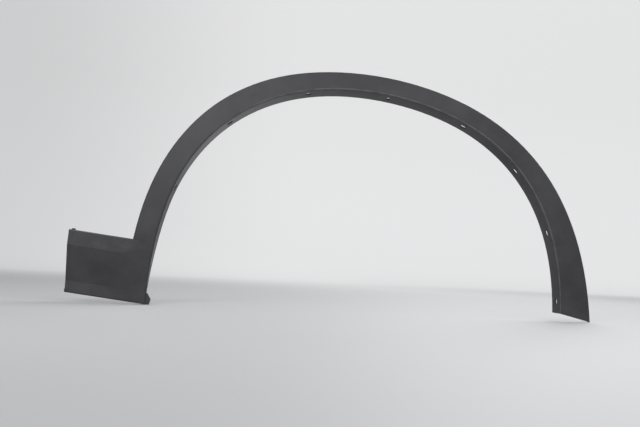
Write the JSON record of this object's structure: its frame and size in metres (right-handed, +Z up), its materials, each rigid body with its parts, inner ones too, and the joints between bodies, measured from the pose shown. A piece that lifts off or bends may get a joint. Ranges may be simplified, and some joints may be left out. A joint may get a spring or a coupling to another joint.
{
  "type": "wheel arch trim",
  "caption": "Moulded charcoal plastic trim for the edge of a car's front wheel arch, with a return flange, fixing slots and a sill plate at its rear end.",
  "frame": {"origin": "centre of the round locating hole at the crown of the arch, in the middle of the flange's wall", "axes": "+X towards the front of the car, +Y inboard, +Z up, with the trim as it is fitted on the right-hand side"},
  "size_m": [1.0059, 0.0549, 0.4578],
  "materials": {
    "charcoal_plastic": "fine moulded grain, matte with a soft sheen"
  },
  "bodies": {
    "root": {"arch_trim": "charcoal_plastic"}
  },
  "joints": []
}
